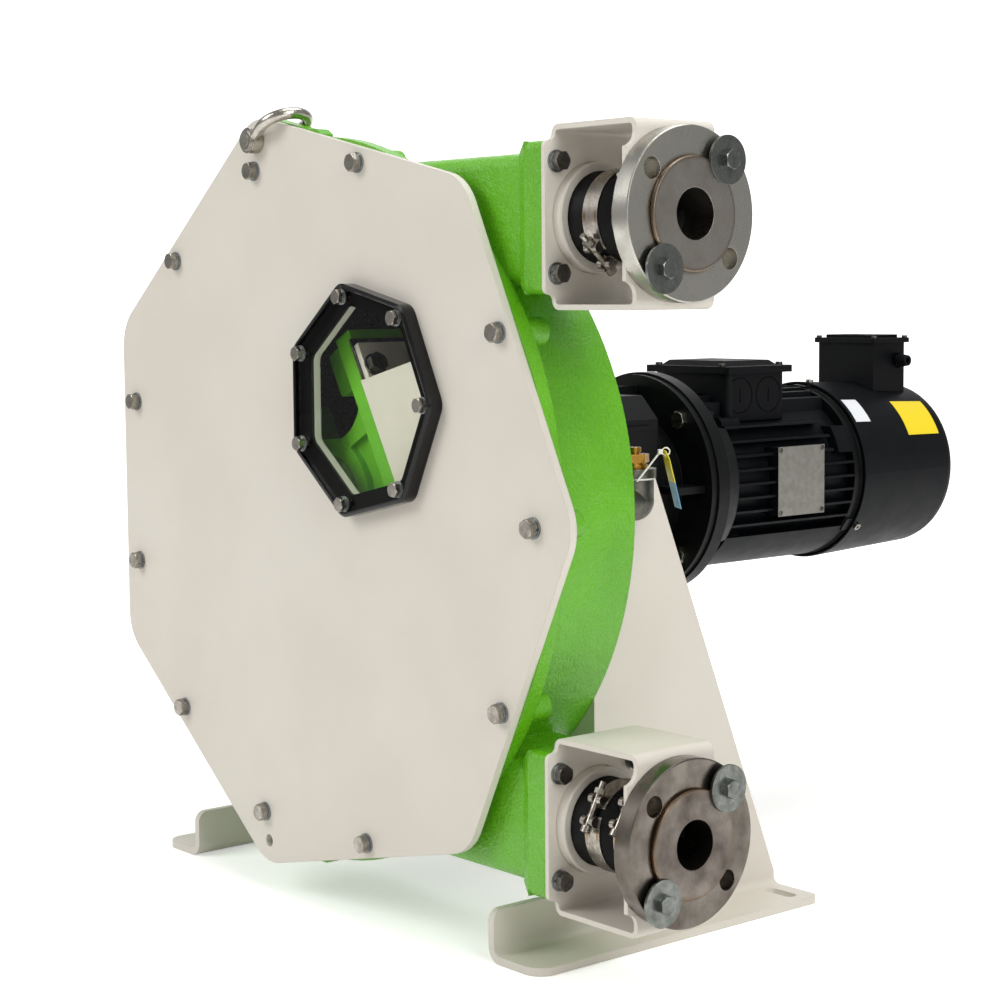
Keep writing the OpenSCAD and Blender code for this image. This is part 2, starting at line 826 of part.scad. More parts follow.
module gear_housing() {
    color(black)
    difference() {
        union() {
            // output flange with a spigot in the casing
            yc(89.9, 139, 150);
            yc(125, 149, 165);
            yc(92, 164, 236);
            for (i = [0:7]) turn_y(45 * i) box([80, 164, -4], [112, 222, 4]);
            // main housing
            translate([0, 0, -2]) {
                yex(228, 412) difference() {
                    rrect(160, 192, 8);
                    for (m = [-1, 1]) translate([m * 80, 96]) rotate(45)
                        square(36, center = true);
                }
                yex(236, 250) rrect(176, 206, 18);
                box([-30, 250, -107], [30, 380, -90]);
            }
            zc(9, 85, 98, 0, 330);
            for (z = [-60, -30, 0, 30, 60]) box([-84, 262, z - 2], [84, 398, z + 2]);
            // neck and square input flange
            translate([0, 0, motor_z]) {
                yc(78, 410, 458);
                for (a = [0:90:270]) turn_y(a) box([60, 412, -4], [112, 457, 4]);
                yc(124.5, 452, 464);
            }
        }
        yc(30.05, 100, 310);
        yc(42, 170, 198);
        translate([0, 0, motor_z]) {
            yc(30, 400, 470);
            for (a = [45:90:315]) turn_y(a) yc(6.6, 430, 480, 107.5);
        }
        for (i = [0:7]) turn_y(22.5 + 45 * i) yc(6.6, 140, 170, 107.5);
    }
}

module gear_bolts() {
    color(zinc)
    for (i = [0:7]) turn_y(22.5 + 45 * i) face_back(165, 107.5) hex_bolt(12, 18, 7.5, 28);
}

module motor_flange_bolts() {
    color(steel)
    translate([0, 0, motor_z])
    for (a = [45:90:315]) turn_y(a) {
        face_front(452, 107.5) hex_bolt(12, 18, 7.5, 40);
        face_back(480, 107.5) difference() {
            hex_head(18, 9);
            translate([0, 0, -1]) cylinder(r = 6.05, h = 20);
        }
    }
}

module motor_front_shield() {
    color(black)
    translate([0, 0, motor_z])
    difference() {
        union() {
            yc(motor_flange_r, 461, 478);
            ycone(motor_flange_r, motor_flange_r - 2, 478, 480);
            ycone(114, motor_fin_r, 479, frame_front);
        }
        // recess for the gear unit's flange
        yc(124.8, 400, 464);
        for (a = [45:90:315]) turn_y(a) yc(6.6, 430, 500, 107.5);
        for (a = [45:90:315]) turn_y(a) yc(14, 480, 540, 107.5);
        yc(14.05, 400, 600);
        yc(60, 490, 600);
    }
}

module fins_outline(top) {
    difference() {
        union() {
            circle(r = 90);
            intersection() {
                circle(r = motor_fin_r);
                union() {
                    for (k = [-3:top]) translate([-110, 16 * k - 1.4]) square([220, 2.8]);
                    for (k = [-3:3]) translate([16 * k - 1.4, 50]) square([2.8, 60]);
                    // plain belly under the last fin
                    translate([-110, -110]) square([220, 48]);
                }
            }
        }
        circle(r = 62);
    }
}

module motor_frame() {
    color(black)
    translate([0, 0, motor_z])
    difference() {
        union() {
            yex(frame_front, 682) fins_outline(4);
            yex(681, 715) fins_outline(1);
            // boss beside the rear shield
            yex(690, 715) intersection() {
                circle(r = motor_fin_r);
                for (m = [-1, 1]) translate([m * 86 - 24, 28]) square([48, 30]);
            }
            // pad of the nameplate
            box([84, 579.5, -39.5], [104.5, 656.5, 39.5]);
            for (a = [45:90:315]) turn_y(a) yc(9, frame_front + 1, frame_front + 30, 93);
        }
        yc(62, 500, 800);
        // the fins stop short of the terminal box
        difference() {
            box([-62.3, 540.7, 60], [62.3, 639.3, 130]);
            yc(90, 500, 700);
        }
    }
    // seat of the terminal box
    translate([0, 0, motor_z]) difference() {
        box([-58, 545, 60], [58, 635, 90.3]);
        yc(80, 500, 800);
    }
}

module motor_rear_shield() {
    color(black)
    translate([0, 0, motor_z])
    difference() {
        union() {
            yc(102, 715, 727);
            yc(61.9, 700, 716);
            yc(103.4, 726, 741);
            ycone(70, 40, 740, 752);
            for (a = cowl_screw_a) turn_y(a) box([86, 716, -9], [104.1, 742, 9]);
        }
        yc(14.05, 600, 800);
        yc(50, 690, 718);
        for (a = cowl_screw_a) turn_y(a) xc(2.4, 92, 110, 735, 0);
    }
}

module fan_cowl() {
    color(black)
    translate([0, 0, motor_z])
    difference() {
        // spun sheet, open in front
        rotate([-90, 0, 0]) rotate_extrude($fn = 128) {
            polygon([
                [cowl_r - 2.2, 728], [cowl_r, 728], [100.4, 892], [98.8, 898], [94.6, 902.8],
                [88.4, 904.5], [0, 904.5], [0, 902.5], [88, 902.5], [93.4, 901], [96.9, 897],
                [98.2, 892]
            ]);
        }
        // air grille in the rear wall
        difference() {
            union() for (r = [34:9:84]) difference() {
                yc(r + 5, 895, 910);
                yc(r, 890, 915);
            }
            for (a = [0:45:135]) turn_y(a) box([-100, 880, -3], [100, 920, 3]);
        }
        for (a = cowl_screw_a) turn_y(a) xc(2.6, 90, 120, 735, 0);
    }
}

module cowl_screws() {
    color(zinc)
    translate([0, 0, motor_z])
    for (a = cowl_screw_a) turn_y(a) face_port(cowl_r - 0.05, 735, 0) {
        difference() {
            cylinder(r = 4.5, h = 3.2);
            translate([0, 0, 1.6]) cylinder(r = 2.2, h = 5, $fn = 6);
        }
        translate([0, 0, -12]) cylinder(r = 2.3, h = 12.1, $fn = 32);
    }
}

module motor_rotor() {
    color(steel)
    translate([0, 0, motor_z]) {
        yc(14, 425, 760);
        yc(61.4, 545, 692);
        for (a = [0:30:330]) turn_y(a) box([40, 538, -1.5], [54, 698, 1.5]);
    }
}

module cooling_fan() {
    color(black)
    translate([0, 0, motor_z])
    difference() {
        union() {
            yc(34, 800, 826);
            for (a = [0:45:315]) turn_y(a)
                translate([32, 813, 0]) rotate([35, 0, 0]) translate([0, -13, -1.4])
                    cube([56, 26, 2.8]);
        }
        yc(4.05, 700, 900);
        yc(30, 806, 830);
    }
}

module fan_motor() {
    color(dark)
    translate([0, 0, motor_z]) {
        yc(28, 830, 894);
        yc(23, 893, 902.5);
        yc(4, 798, 831);
    }
}

module terminal_box() {
    color(black)
    difference() {
        translate([0, 590, 59]) linear_extrude(height = 55) rrect(124, 98, 12);
        translate([0, 590, 84]) linear_extrude(height = 40) rrect(114, 88, 8);
        // skirt around the seat on the motor's barrel
        box([-58.2, 544.8, 50], [58.2, 635.2, 80.3]);
        yc(90.3, 500, 700, 0, motor_z);
        // blind entries with a slot for a screwdriver
        for (y = [560, 607.5]) {
            difference() {
                xc(21, 60.8, 70, y, 88.5);
                xc(19.6, 50, 80, y, 88.5);
            }
            box([61, y - 1.2, 80.5], [70, y + 1.2, 96.5]);
        }
    }
}

module terminal_lid() {
    color(black)
    difference() {
        union() {
            translate([0, 589, 114]) linear_extrude(height = 8) rrect(140, 108, 6);
            // raised panel with sloped sides
            intersection() {
                yex(540, 640) polygon([[-54, 120], [54, 120], [54, 122], [47, 128], [-47, 128],
                    [-54, 122]]);
                xex(-60, 60) polygon([[547, 120], [631, 120], [631, 122], [624, 128],
                    [554, 128], [547, 122]]);
            }
        }
        for (x = [-52, 52]) for (y = [541.5, 636.5]) zc(2.6, 100, 130, x, y);
    }
}

module lid_screws() {
    color(dark) {
        for (x = [-52, 52]) for (y = [541.5, 636.5]) {
            zc(4.2, 122, 125.4, x, y);
            zc(2.5, 115, 122.1, x, y);
        }
        for (x = [-45, 45]) for (y = [815, 872]) {
            zc(3.4, 149, 151.8, x, y);
            zc(2.3, 144, 149.1, x, y);
        }
    }
}

module fan_box() {
    color(black)
    difference() {
        box([-44.5, 814, 80], [44.5, 872, 143]);
        box([-40.5, 818, 100], [40.5, 868, 150]);
        // saddle on the cowl
        translate([0, 0, motor_z]) ycone(108.6, 99.7, 708, 913.6);
        xc(7, 30, 60, 858, 121);
    }
}

module fan_box_lid() {
    color(black)
    difference() {
        union() {
            translate([0, 843.5, 143]) linear_extrude(height = 6) rrect(100, 69, 5);
            translate([0, 843.5, 148.9]) linear_extrude(height = 4) rrect(78, 50, 5);
        }
        for (x = [-45, 45]) for (y = [815, 872]) zc(2.4, 140, 160, x, y);
    }
}

module cable_gland() {
    color(black)
    face_port(44.5, 858, 121) {
        translate([0, 0, -6]) cylinder(r = 6.9, h = 6.1);
        cylinder(r = 9.5, h = 6, $fn = 6);
        difference() {
            translate([0, 0, 5.9]) cylinder(r1 = 8.5, r2 = 6.5, h = 12);
            translate([0, 0, 10]) cylinder(r = 3.6, h = 20);
        }
    }
}

module nameplate() {
    color(steel)
    translate([0, 0, motor_z])
    difference() {
        box([104.5, 579, -40], [105.5, 657, 40]);
        for (y = [583, 653]) for (z = [-36, 36]) xc(1.6, 100, 110, y, z);
    }
}

module blank_labels() {
    translate([0, 0, motor_z]) {
        // white label near the front of the cowl
        color([0.9, 0.9, 0.9]) rotate([-90, 0, 0]) rotate([0, 0, -54]) rotate_extrude(angle = 19)
            polygon([for (p = [[0, 733], [0, 760], [0.35, 760], [0.35, 733]])
                [cowl_r + 0.05 - (p[1] - 728) * 7.1 / 164 + p[0], p[1]]]);
        // yellow label near the rear of the cowl
        color([0.95, 0.82, 0.15]) rotate([-90, 0, 0]) rotate([0, 0, -52]) rotate_extrude(angle = 28)
            polygon([for (p = [[0, 822], [0, 882], [0.35, 882], [0.35, 822]])
                [cowl_r + 0.05 - (p[1] - 728) * 7.1 / 164 + p[0], p[1]]]);
    }
}

// Filling port, tag and shackle

module fill_elbow() {
    color(grey)
    translate([285, 182, fill_z])
    difference() {
        union() {
            sphere(r = 19.2);
            rotate([90, 0, 0]) cylinder(r = 19, h = 20);
            rotate([90, 0, 0]) translate([0, 0, 16]) cylinder(r = 21, h = 8.8);
            rotate([90, 0, 0]) cylinder(r = 12.4, h = 42);
            cylinder(r = 19, h = 24);
            translate([0, 0, 23]) cylinder(r = 21.3, h = 8.6);
        }
        cylinder(r = 9, h = 50);
        translate([0, 0, 16]) cylinder(r = 12.5, h = 50);
        rotate([90, 0, 0]) cylinder(r = 9, h = 60);
    }
}

module fill_plug() {
    color(brass)
    translate([285, 182, fill_z])
    difference() {
        union() {
            translate([0, 0, 18]) cylinder(r = 12.4, h = 17);
            translate([0, 0, 31.7]) cylinder(r = 13.4, h = 3.6);
            translate([0, 0, 35]) cylinder(r = 11, h = 3);
            translate([0, 0, 37.5]) cylinder(r = 15, h = 8, $fn = 6);
            translate([0, 0, 45.4]) cylinder(r = 5.2, h = 3);
            translate([0, 0, 47.2]) cylinder(r = 7, h = 4.8);
        }
        translate([0, 0, 10]) cylinder(r = 6, h = 20);
    }
}

// round bar between two points
module bar(a, b, r) {
    d = b - a;
    translate(a) rotate([0, acos(d[2] / norm(d)), atan2(d[1], d[0])]) cylinder(r = r, h = norm(d), $fn = 24);
}

tie_at = [320, 190.5, 57];
tag_turn = -30;

module hang_tag() {
    // tie around the elbow's neck, bent outwards, with its head
    color([0.9, 0.9, 0.88]) {
        translate([285, 182, fill_z + 21.2]) difference() {
            cylinder(r = 20.6, h = 1.6);
            translate([0, 0, -1]) cylinder(r = 19.1, h = 6);
        }
        bar([300.2, 168.8, fill_z + 22], [307, 165.5, fill_z + 21.5], 0.72);
        translate([307, 165.5, fill_z + 21.5]) sphere(r = 0.92, $fn = 24);
        bar([307, 165.5, fill_z + 21.5], tie_at + [-3, -4.4, 0], 0.9);
        translate(tie_at) rotate([0, 0, tag_turn]) {
            translate([-2.4, -7.6, -2.2]) cube([4.8, 4.2, 4.4]);
            // ring through the tag's hole
            rotate([0, -90, 0]) rotate_extrude($fn = 48) translate([3.7, 0]) circle(r = 0.7, $fn = 16);
        }
    }
    // blank tag that hangs from the ring
    color([0.93, 0.82, 0.2]) translate(tie_at) rotate([0, 0, tag_turn]) translate([0, 0, -3.7])
        rotate([13.5, 0, 0]) difference() {
            yex(-0.4, 0.4) polygon([[-5, 4.6], [5, 4.6], [12, -3], [12, -52], [-12, -52], [-12, -3]]);
            yc(2.4, -5, 5);
        }
}

// local frame of the shackle: x along the bow, the pin on the Y axis
module shackle_frame() {
    translate([shackle_r * cos(lug_a), 11.5, shackle_r * sin(lug_a)])
        turn_y(shackle_lean) children();
}

// the bend's middle, the lean of each leg and the leg's length
bow_x = 35;
bow_a = atan2(-18, bow_x) + asin(25 / norm([bow_x, 18]));
bow_l = sqrt(pow(bow_x, 2) + pow(18, 2) - 625) - 4;

// stations of the bow's bar: its middle and the direction of its outer side
bow_n = 32;
bow_t = 90 + bow_a;
bow_end = [bow_x, 0] + 25 * [cos(bow_t), sin(bow_t)] - bow_l * [cos(bow_a), sin(bow_a)];
bow_stations = concat(
    [[bow_end, bow_t]],
    [for (i = [0:bow_n]) let (t = bow_t * (1 - 2 * i / bow_n)) [[bow_x, 0] + 25 * [cos(t), sin(t)], t]],
    [[[bow_end[0], -bow_end[1]], -bow_t]]);

module bow_bar() {
    n = bow_n;
    m = len(bow_stations);
    rings = [for (s = bow_stations) for (i = [0:n - 1])
        let (f = (i + 0.5) * 360 / n)
        [s[0][0] + 6 * cos(f) * cos(s[1]), s[0][1] + 6 * cos(f) * sin(s[1]), 6 * sin(f)]];
    sides = [for (j = [0:m - 2]) for (i = [0:n - 1])
        let (k = (i + 1) % n, a = j * n + i, b = j * n + k)
        each [[a, b + n, b], [a, a + n, b + n]]];
    caps = [[for (i = [0:n - 1]) i], [for (i = [0:n - 1]) n * m - 1 - i]];
    polyhedron(points = rings, faces = concat(sides, caps));
}

module shackle_bow() {
    color(steel)
    shackle_frame() difference() {
        union() {
            bow_bar();
            for (m = [0, 1]) mirror([0, m, 0]) {
                yc(13, 12, 24);
                yc(10, 23, 26.6);
            }
        }
        yc(6.1, -40, 40);
        yc(14, -12, 12);
    }
}

module shackle_pin() {
    color(steel)
    shackle_frame() {
        yc(6, -27, 27.5);
        yc(9.5, 26.9, 31);
        difference() {
            union() {
                yc(6, 30, 35);
                translate([-4, 44, 0]) rotate([0, 90, 0]) cylinder(r = 11, h = 8);
            }
            translate([-10, 44, 0]) rotate([0, 90, 0]) cylinder(r = 5, h = 20);
        }
    }
}

module place() {
    translate([0, -slot_mid_y, shaft_h]) children();
}

module place_drive() {
    place() translate([0, drive_y, 0]) children();
}

place() casing();
place() cover_plate();
place() cover_seal();
place() cover_bolts();
place() flat_washers();
place() window_rim();
place() window_gasket();
place() window_pane();
place() window_bolts();
place() spring_washers();
place() hose();
place() port_bracket_top();
place() port_bracket_bottom();
place() bracket_bolts();
place() hose_collar_top();
place() hose_collar_bottom();
place() hose_clamps_top();
place() hose_clamps_bottom();
place() clamp_bolts();
place() insert_top();
place() insert_bottom();
place() port_flange_top();
place() port_flange_bottom();
place() flange_bolts();
place() flange_washers();
place() flange_nuts();
place() support_right();
place() support_left();
place() support_bolts();
place_drive() gear_housing();
place_drive() gear_bolts();
place() output_shaft();
place() rotor_hub();
place() press_shoe_a();
place() press_shoe_b();
place() shoe_shims();
place() shoe_bolts();
place() rotor_retainer();
place_drive() motor_flange_bolts();
place_drive() motor_front_shield();
place_drive() motor_frame();
place_drive() motor_rear_shield();
place_drive() fan_cowl();
place_drive() cowl_screws();
place_drive() motor_rotor();
place_drive() cooling_fan();
place_drive() fan_motor();
place_drive() terminal_box();
place_drive() terminal_lid();
place_drive() lid_screws();
place_drive() fan_box();
place_drive() fan_box_lid();
place_drive() cable_gland();
place_drive() nameplate();
place_drive() blank_labels();
place_drive() fill_elbow();
place_drive() fill_plug();
place_drive() hang_tag();
place() shackle_bow();
place() shackle_pin();
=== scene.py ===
"""A peristaltic hose pump with its gear motor, dressed for the studio."""

import math

import bpy
import bmesh
from mathutils import Matrix, Vector


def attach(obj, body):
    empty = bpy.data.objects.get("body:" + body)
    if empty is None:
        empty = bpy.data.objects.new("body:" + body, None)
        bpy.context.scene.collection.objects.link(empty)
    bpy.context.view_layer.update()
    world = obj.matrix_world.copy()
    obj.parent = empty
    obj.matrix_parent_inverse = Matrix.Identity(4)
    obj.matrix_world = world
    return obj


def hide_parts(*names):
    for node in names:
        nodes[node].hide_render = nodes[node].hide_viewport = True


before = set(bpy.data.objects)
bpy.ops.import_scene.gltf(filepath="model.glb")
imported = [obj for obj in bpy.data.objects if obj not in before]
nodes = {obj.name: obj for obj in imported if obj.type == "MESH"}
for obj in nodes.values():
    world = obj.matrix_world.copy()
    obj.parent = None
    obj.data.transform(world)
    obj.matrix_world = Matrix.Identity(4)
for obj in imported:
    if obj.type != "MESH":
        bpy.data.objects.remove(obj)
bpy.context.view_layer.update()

MM = 0.001

# Places and sizes on the pump, in millimetres and degrees, from the floor's centre
SHAFT_Z = 421
COVER_Y = -315
PORT_Y = COVER_Y + 74.2
PORT_RISE = 275.3
CHAMBER_FRONT_Y = -175
TRACK_R = 317
INSERT_COLLAR_R = 49.2
LABELS_MEET_Y = COVER_Y + 790
TAG_COLOURS_MEET_Z = SHAFT_Z + 28
HOSE_OD = 83
HOSE_ID = 50
HOSE_LEG_X = 440
HOSE_STRAIGHT_X = 340
SHOE_NOSE_R = 285.7
SHOE_GAP = 0.4
SQUEEZE_DEG = 209
SQUEEZE_HALF_DEG = 22
CLAMP_X = (388.5, 426)
WELD_OFFSET = 7
CLAMP_FOLDS = (sum(CLAMP_X) / 2, (CLAMP_X[1] - CLAMP_X[0]) / 2, WELD_OFFSET)


# Small helpers


def linear(hex_code):
    """sRGB hex, as paint charts give it, to the linear values that the shader takes."""
    parts = [int(hex_code[i : i + 2], 16) / 255 for i in (1, 3, 5)]
    lin = [c / 12.92 if c <= 0.04045 else ((c + 0.055) / 1.055) ** 2.4 for c in parts]
    return (*lin, 1.0)


def per_mm(size):
    """Texture scale whose features come out this many millimetres wide."""
    return 1 / (size * MM)


def add(tree, kind, settings=None, links=None):
    """Adds one node, sets its properties and sockets, and joins its inputs."""
    n = tree.nodes.new("ShaderNode" + kind)
    for key, value in (settings or {}).items():
        if isinstance(key, int) or key in n.inputs:
            n.inputs[key].default_value = value
        else:
            setattr(n, key, value)
    for key, source in (links or {}).items():
        tree.links.new(source, n.inputs[key])
    return n


def pattern(size_mm, detail=3.0, rough=0.5):
    """Settings of a soft random pattern, with blotches of this size."""
    return {"Scale": per_mm(size_mm), "Detail": detail, "Roughness": rough}


def span(low, high, to_low, to_high):
    """Settings that carry one range of values to another."""
    return {"From Min": low, "From Max": high, "To Min": to_low, "To Max": to_high}


def two_colours(first, second):
    """Settings that mix two hex colours."""
    return {"data_type": "RGBA", 6: linear(first), 7: linear(second)}


def over_colour(hex_code):
    """Settings that lay a hex colour over what is joined to socket 6."""
    return {"data_type": "RGBA", 7: linear(hex_code)}


def finish_material(name):
    """An empty material with its shader, ready for the pattern nodes."""
    mat = bpy.data.materials.new(name)
    mat.use_nodes = True
    tree = mat.node_tree
    tree.nodes.clear()
    shader = add(tree, "BsdfPrincipled")
    add(tree, "OutputMaterial", links={"Surface": shader.outputs["BSDF"]})
    return mat, tree, shader


def dress(tree, shader, colour, roughness, normal=None):
    """Joins the finished patterns to the shader."""
    tree.links.new(colour, shader.inputs["Base Color"])
    tree.links.new(roughness, shader.inputs["Roughness"])
    if normal is not None:
        tree.links.new(normal, shader.inputs["Normal"])


def relief(tree, height, depth_mm, edge_mm):
    """Bump of a real depth, over edges that are rounded by a real radius."""
    edge = add(tree, "Bevel", {"samples": 4, "Radius": edge_mm * MM})
    bump = {"Strength": 1.0, "Distance": depth_mm * MM}
    joins = {"Height": height, "Normal": edge.outputs[0]}
    return add(tree, "Bump", bump, joins).outputs["Normal"]


def mask_within(tree, vector, limit, sharp):
    """One where the vector is shorter than the limit, all in millimetres, else nought."""
    size = add(tree, "VectorMath", {"operation": "LENGTH"}, {0: vector})
    ring = span((limit - sharp) * MM, (limit + sharp) * MM, 1, 0)
    return add(tree, "MapRange", ring, {"Value": size.outputs["Value"]}).outputs[0]


def from_point(tree, at, centre_mm, weights):
    """The way from a point, with each axis weighted."""
    centre = [c * MM for c in centre_mm]
    away = add(tree, "VectorMath", {"operation": "SUBTRACT", 1: centre}, {0: at})
    flat = {"operation": "MULTIPLY", 1: weights}
    return add(tree, "VectorMath", flat, {0: away.outputs[0]}).outputs[0]


def distance_to(tree, value, stop_mm):
    """How far a value lies from a stop, whichever side it is on."""
    step = add(tree, "Math", {"operation": "SUBTRACT", 1: stop_mm * MM}, {0: value})
    return add(tree, "Math", {"operation": "ABSOLUTE"}, {0: step.outputs[0]}).outputs[0]


def both_of(tree, first, second):
    """One mask times another."""
    return add(tree, "Math", {"operation": "MULTIPLY"}, {0: first, 1: second}).outputs[0]


# Finishes


def enamel_on_casting(
    name, body, shade, grain_mm, depth_mm, edge_mm, gloss, chamber=False
):
    """Sprayed enamel over sand-cast iron: glossy, with the mould's grain showing through.

    With chamber, the inside of the hose's track is painted dark brown: painted shade of the
    closed chamber.
    """
    swell_mm = 26
    swell_share = 2.5
    patch_mm = 90
    mat, tree, shader = finish_material(name)
    at = add(tree, "TexCoord").outputs["Object"]
    grain = add(tree, "TexNoise", pattern(grain_mm, 4.0, 0.55), {"Vector": at})
    swell = add(tree, "TexNoise", pattern(swell_mm, 2.0), {"Vector": at})
    patches = add(tree, "TexNoise", pattern(patch_mm, 2.0), {"Vector": at})
    both = add(
        tree,
        "Math",
        {"operation": "MULTIPLY_ADD", 1: swell_share},
        {0: swell.outputs["Fac"], 2: grain.outputs["Fac"]},
    )
    tone = add(tree, "MapRange", span(0.35, 0.7, 0, 1), {"Value": patches.outputs["Fac"]})
    colour = add(tree, "Mix", two_colours(body, shade), {0: tone.outputs[0]}).outputs[2]
    if chamber:
        parts = add(tree, "SeparateXYZ", links={0: at})
        from_shaft = from_point(tree, at, (0, 0, SHAFT_Z), (1, 0, 1))
        past_wall = TRACK_R + 0.4
        inside = mask_within(tree, from_shaft, past_wall, 0.1)
        floor = span((CHAMBER_FRONT_Y - 0.1) * MM, (CHAMBER_FRONT_Y + 0.1) * MM, 1, 0)
        front = add(tree, "MapRange", floor, {"Value": parts.outputs[1]})
        painted_shade = both_of(tree, inside, front.outputs[0])
        # Inside the track and in front of the chamber floor the colour turns dark brown:
        # painted shade
        colour = add(tree, "Mix", over_colour("#1D1712"), {0: painted_shade, 6: colour}).outputs[2]
    rough = span(0.3, 0.7, gloss, gloss + 0.16)
    dress(
        tree,
        shader,
        colour,
        add(tree, "MapRange", rough, {"Value": grain.outputs["Fac"]}).outputs[0],
        relief(tree, both.outputs[0], depth_mm, edge_mm),
    )
    shader.inputs["IOR"].default_value = 1.5
    return mat


def powder_coat(name, body, shade):
    """Polyester powder coat on sheet steel: satin, with a fine orange peel."""
    peel_mm = 1.6
    peel_depth_mm = 0.06
    edge_mm = 1.2
    cloud_mm = 160
    rub_mm = 34
    mat, tree, shader = finish_material(name)
    at = add(tree, "TexCoord").outputs["Object"]
    peel = add(tree, "TexNoise", pattern(peel_mm, 2.0), {"Vector": at})
    cloud = add(tree, "TexNoise", pattern(cloud_mm, 3.0), {"Vector": at})
    rub = add(tree, "TexNoise", pattern(rub_mm, 5.0, 0.6), {"Vector": at})
    tone = add(tree, "MapRange", span(0.35, 0.7, 0, 1), {"Value": cloud.outputs["Fac"]})
    rough = span(0.3, 0.75, 0.42, 0.56)
    dress(
        tree,
        shader,
        add(tree, "Mix", two_colours(body, shade), {0: tone.outputs[0]}).outputs[2],
        add(tree, "MapRange", rough, {"Value": rub.outputs["Fac"]}).outputs[0],
        relief(tree, peel.outputs["Fac"], peel_depth_mm, edge_mm),
    )
    return mat


def satin_black(
    name, body, dusty, rough_low, rough_high, grain_mm, depth_mm, edge_mm, shine
):
    """Black rubber, plastic or paint: nearly no colour, a soft sheen and a little dust."""
    dust_mm = 25
    mat, tree, shader = finish_material(name)
    at = add(tree, "TexCoord").outputs["Object"]
    dust = add(tree, "TexNoise", pattern(dust_mm, 5.0, 0.6), {"Vector": at})
    grain = add(tree, "TexNoise", pattern(grain_mm, 3.0), {"Vector": at})
    tone = add(tree, "MapRange", span(0.4, 0.75, 0, 1), {"Value": dust.outputs["Fac"]})
    rough = span(0.3, 0.7, rough_low, rough_high)
    dress(
        tree,
        shader,
        add(tree, "Mix", two_colours(body, dusty), {0: tone.outputs[0]}).outputs[2],
        add(tree, "MapRange", rough, {"Value": dust.outputs["Fac"]}).outputs[0],
        relief(tree, grain.outputs["Fac"], depth_mm, edge_mm),
    )
    shader.inputs["IOR"].default_value = 1.5
    shader.inputs["Specular IOR Level"].default_value = shine
    return mat


def bare_metal(
    name, body, shade, rough_low, rough_high, mark_mm=3.0, depth_mm=0.01, edge_mm=0.6
):
    """Machined or drawn metal: bright, clouded by handling, with faint marks."""
    cloud_mm = 9
    mat, tree, shader = finish_material(name)
    at = add(tree, "TexCoord").outputs["Object"]
    cloud = add(tree, "TexNoise", pattern(cloud_mm, 4.0, 0.6), {"Vector": at})
    marks = add(tree, "TexNoise", pattern(mark_mm, 2.0), {"Vector": at})
    tone = add(tree, "MapRange", span(0.35, 0.7, 0, 1), {"Value": cloud.outputs["Fac"]})
    rough = span(0.3, 0.7, rough_low, rough_high)
    dress(
        tree,
        shader,
        add(tree, "Mix", two_colours(body, shade), {0: tone.outputs[0]}).outputs[2],
        add(tree, "MapRange", rough, {"Value": cloud.outputs["Fac"]}).outputs[0],
        relief(tree, marks.outputs["Fac"], depth_mm, edge_mm),
    )
    shader.inputs["Metallic"].default_value = 1.0
    return mat


def welded_band(name, body, shade):
    """Stainless clamp strip with the small tan spots that spot welding leaves on it."""
    cloud_mm = 6
    mark_mm = 1.2
    mark_depth_mm = 0.02
    edge_mm = 0.4
    spot_r_mm = 1.7
    spot_stretch = 0.35
    mat, tree, shader = finish_material(name)
    at = add(tree, "TexCoord").outputs["Object"]
    cloud = add(tree, "TexNoise", pattern(cloud_mm, 4.0, 0.6), {"Vector": at})
    marks = add(tree, "TexNoise", pattern(mark_mm, 2.0), {"Vector": at})
    tone = add(tree, "MapRange", span(0.35, 0.7, 0, 1), {"Value": cloud.outputs["Fac"]})
    colour = add(tree, "Mix", two_colours(body, shade), {0: tone.outputs[0]}).outputs[2]
    parts = add(tree, "SeparateXYZ", links={0: at})
    folded = parts.outputs[0]
    for stop in CLAMP_FOLDS:
        folded = distance_to(tree, folded, stop)
    height = parts.outputs[2]
    for stop in (SHAFT_Z, PORT_RISE):
        height = distance_to(tree, height, stop)
    lower = add(tree, "Math", {"operation": "MULTIPLY", 1: spot_stretch}, {0: height})
    spot = add(tree, "CombineXYZ", links={0: folded, 1: lower.outputs[0]})
    burn = mask_within(tree, spot.outputs[0], spot_r_mm, 0.7)
    near_side = span((PORT_Y - 2) * MM, PORT_Y * MM, 1, 0)
    front = add(tree, "MapRange", near_side, {"Value": parts.outputs[1]})
    tan = both_of(tree, burn, front.outputs[0])
    rough = span(0.3, 0.7, 0.22, 0.4)
    dress(
        tree,
        shader,
        add(tree, "Mix", over_colour("#8F7452"), {0: tan, 6: colour}).outputs[2],
        add(tree, "MapRange", rough, {"Value": cloud.outputs["Fac"]}).outputs[0],
        relief(tree, marks.outputs["Fac"], mark_depth_mm, edge_mm),
    )
    shader.inputs["Metallic"].default_value = 1.0
    return mat


